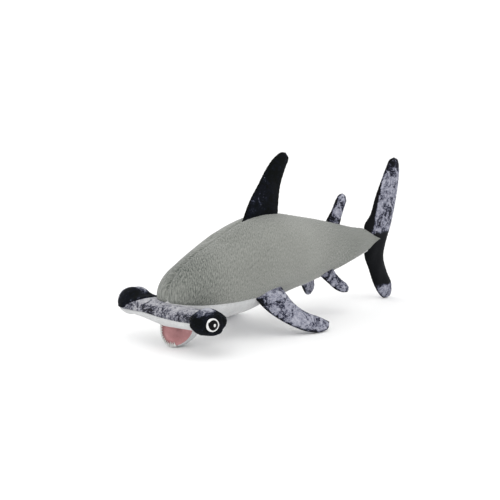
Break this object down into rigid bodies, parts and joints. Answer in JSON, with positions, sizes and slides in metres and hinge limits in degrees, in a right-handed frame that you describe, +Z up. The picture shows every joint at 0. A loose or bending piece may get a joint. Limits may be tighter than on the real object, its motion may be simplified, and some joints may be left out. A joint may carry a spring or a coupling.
{
  "type": "plush hammerhead shark",
  "caption": "Soft stuffed hammerhead shark in grey, white and mottled plush, with floppy fins, a bending tail and an open pink mouth.",
  "frame": {"origin": "on the floor, under the middle of the bounding box", "axes": "+Z up, +Y from the nose towards the tail, +X on the shark's left side"},
  "size_m": [0.186, 0.5161, 0.2468],
  "materials": {
    "grey_plush": "matt",
    "white_plush": "matt",
    "mottled_velour": "matt",
    "dark_velour": "matt",
    "pink_velour": "matt",
    "white_felt": "matt",
    "white_thread": "matt",
    "black_thread": "matt",
    "fibre_fill": "matt"
  },
  "bodies": {
    "torso": {"back_panel_left": "grey_plush", "back_panel_right": "grey_plush", "belly_panel": "white_plush", "torso_filling": "fibre_fill", "hammer_top_centre": "mottled_velour", "hammer_under_centre": "white_plush", "hammer_filling_centre": "fibre_fill", "jaw_cover": "white_plush", "mouth_lining": "pink_velour", "jaw_filling": "fibre_fill", "teeth_strip": "white_felt"},
    "hammer_lobe_left": {"hammer_top_left": "mottled_velour", "hammer_under_left": "white_plush", "hammer_filling_left": "fibre_fill", "eye_pod_left": "dark_velour", "eye_ring_left": "white_thread", "eye_pupil_left": "black_thread", "eye_glint_left": "white_thread"},
    "hammer_lobe_right": {"hammer_top_right": "mottled_velour", "hammer_under_right": "white_plush", "hammer_filling_right": "fibre_fill", "eye_pod_right": "dark_velour", "eye_ring_right": "white_thread", "eye_pupil_right": "black_thread", "eye_glint_right": "white_thread"},
    "first_dorsal": {"first_dorsal_left_panel": "dark_velour", "first_dorsal_right_panel": "dark_velour", "first_dorsal_filling": "fibre_fill"},
    "second_dorsal": {"second_dorsal_left_panel": "mottled_velour", "second_dorsal_right_panel": "mottled_velour", "second_dorsal_filling": "fibre_fill"},
    "pectoral_left": {"pectoral_left_outer_panel": "mottled_velour", "pectoral_left_inner_panel": "mottled_velour", "pectoral_left_filling": "fibre_fill"},
    "pectoral_right": {"pectoral_right_outer_panel": "mottled_velour", "pectoral_right_inner_panel": "mottled_velour", "pectoral_right_filling": "fibre_fill"},
    "pelvic_left": {"pelvic_left_outer_panel": "mottled_velour", "pelvic_left_inner_panel": "mottled_velour", "pelvic_left_filling": "fibre_fill"},
    "pelvic_right": {"pelvic_right_outer_panel": "mottled_velour", "pelvic_right_inner_panel": "mottled_velour", "pelvic_right_filling": "fibre_fill"},
    "tail_stock": {"tail_panel_left": "grey_plush", "tail_panel_right": "grey_plush", "tail_belly_panel": "white_plush", "tail_filling": "fibre_fill"},
    "tail_fin": {"tail_fin_left_panel": "mottled_velour", "tail_fin_right_panel": "mottled_velour", "tail_fin_filling": "fibre_fill"}
  },
  "joints": [
    {"name": "hammer_lobe_left_flex", "type": "hinge", "parent": "torso", "child": "hammer_lobe_left", "pos_m": [0.0326, -0.2345, 0.04383], "axis": [0, -1, 0], "range_deg": [-15, 15], "stiffness_Nm_per_rad": 0.25},
    {"name": "hammer_lobe_right_flex", "type": "hinge", "parent": "torso", "child": "hammer_lobe_right", "pos_m": [-0.0326, -0.2345, 0.04817], "axis": [0, 1, 0], "range_deg": [-15, 15], "stiffness_Nm_per_rad": 0.25},
    {"name": "first_dorsal_flop", "type": "hinge", "parent": "torso", "child": "first_dorsal", "pos_m": [0, -0.0615, 0.161], "axis": [0, 1, 0], "range_deg": [-30, 30], "stiffness_Nm_per_rad": 0.12},
    {"name": "second_dorsal_flop", "type": "hinge", "parent": "torso", "child": "second_dorsal", "pos_m": [0, 0.0985, 0.133], "axis": [0, 0.9734, -0.229], "range_deg": [-30, 30], "stiffness_Nm_per_rad": 0.03},
    {"name": "pectoral_left_flap", "type": "hinge", "parent": "torso", "child": "pectoral_left", "pos_m": [0.047, -0.0915, 0.057], "axis": [-0.0577, -0.9614, -0.2692], "range_deg": [-10, 35], "stiffness_Nm_per_rad": 0.6},
    {"name": "pectoral_right_flap", "type": "hinge", "parent": "torso", "child": "pectoral_right", "pos_m": [-0.047, -0.0915, 0.057], "axis": [-0.0577, 0.9614, 0.2692], "range_deg": [-10, 35], "stiffness_Nm_per_rad": 0.6},
    {"name": "pelvic_left_flap", "type": "hinge", "parent": "torso", "child": "pelvic_left", "pos_m": [0.025, 0.0555, 0.063], "axis": [-0.0656, -0.9843, -0.164], "range_deg": [-15, 25], "stiffness_Nm_per_rad": 0.03},
    {"name": "pelvic_right_flap", "type": "hinge", "parent": "torso", "child": "pelvic_right", "pos_m": [-0.025, 0.0555, 0.063], "axis": [-0.0656, 0.9843, 0.164], "range_deg": [-15, 25], "stiffness_Nm_per_rad": 0.03},
    {"name": "tail_bend", "type": "hinge", "parent": "torso", "child": "tail_stock", "pos_m": [0, 0.1351, 0.098], "axis": [0, 0, 1], "range_deg": [-20, 20], "stiffness_Nm_per_rad": 0.6},
    {"name": "tail_fin_swing", "type": "hinge", "parent": "tail_stock", "child": "tail_fin", "pos_m": [0, 0.1921, 0.098], "axis": [0, 0, 1], "range_deg": [-20, 20], "stiffness_Nm_per_rad": 0.25}
  ]
}
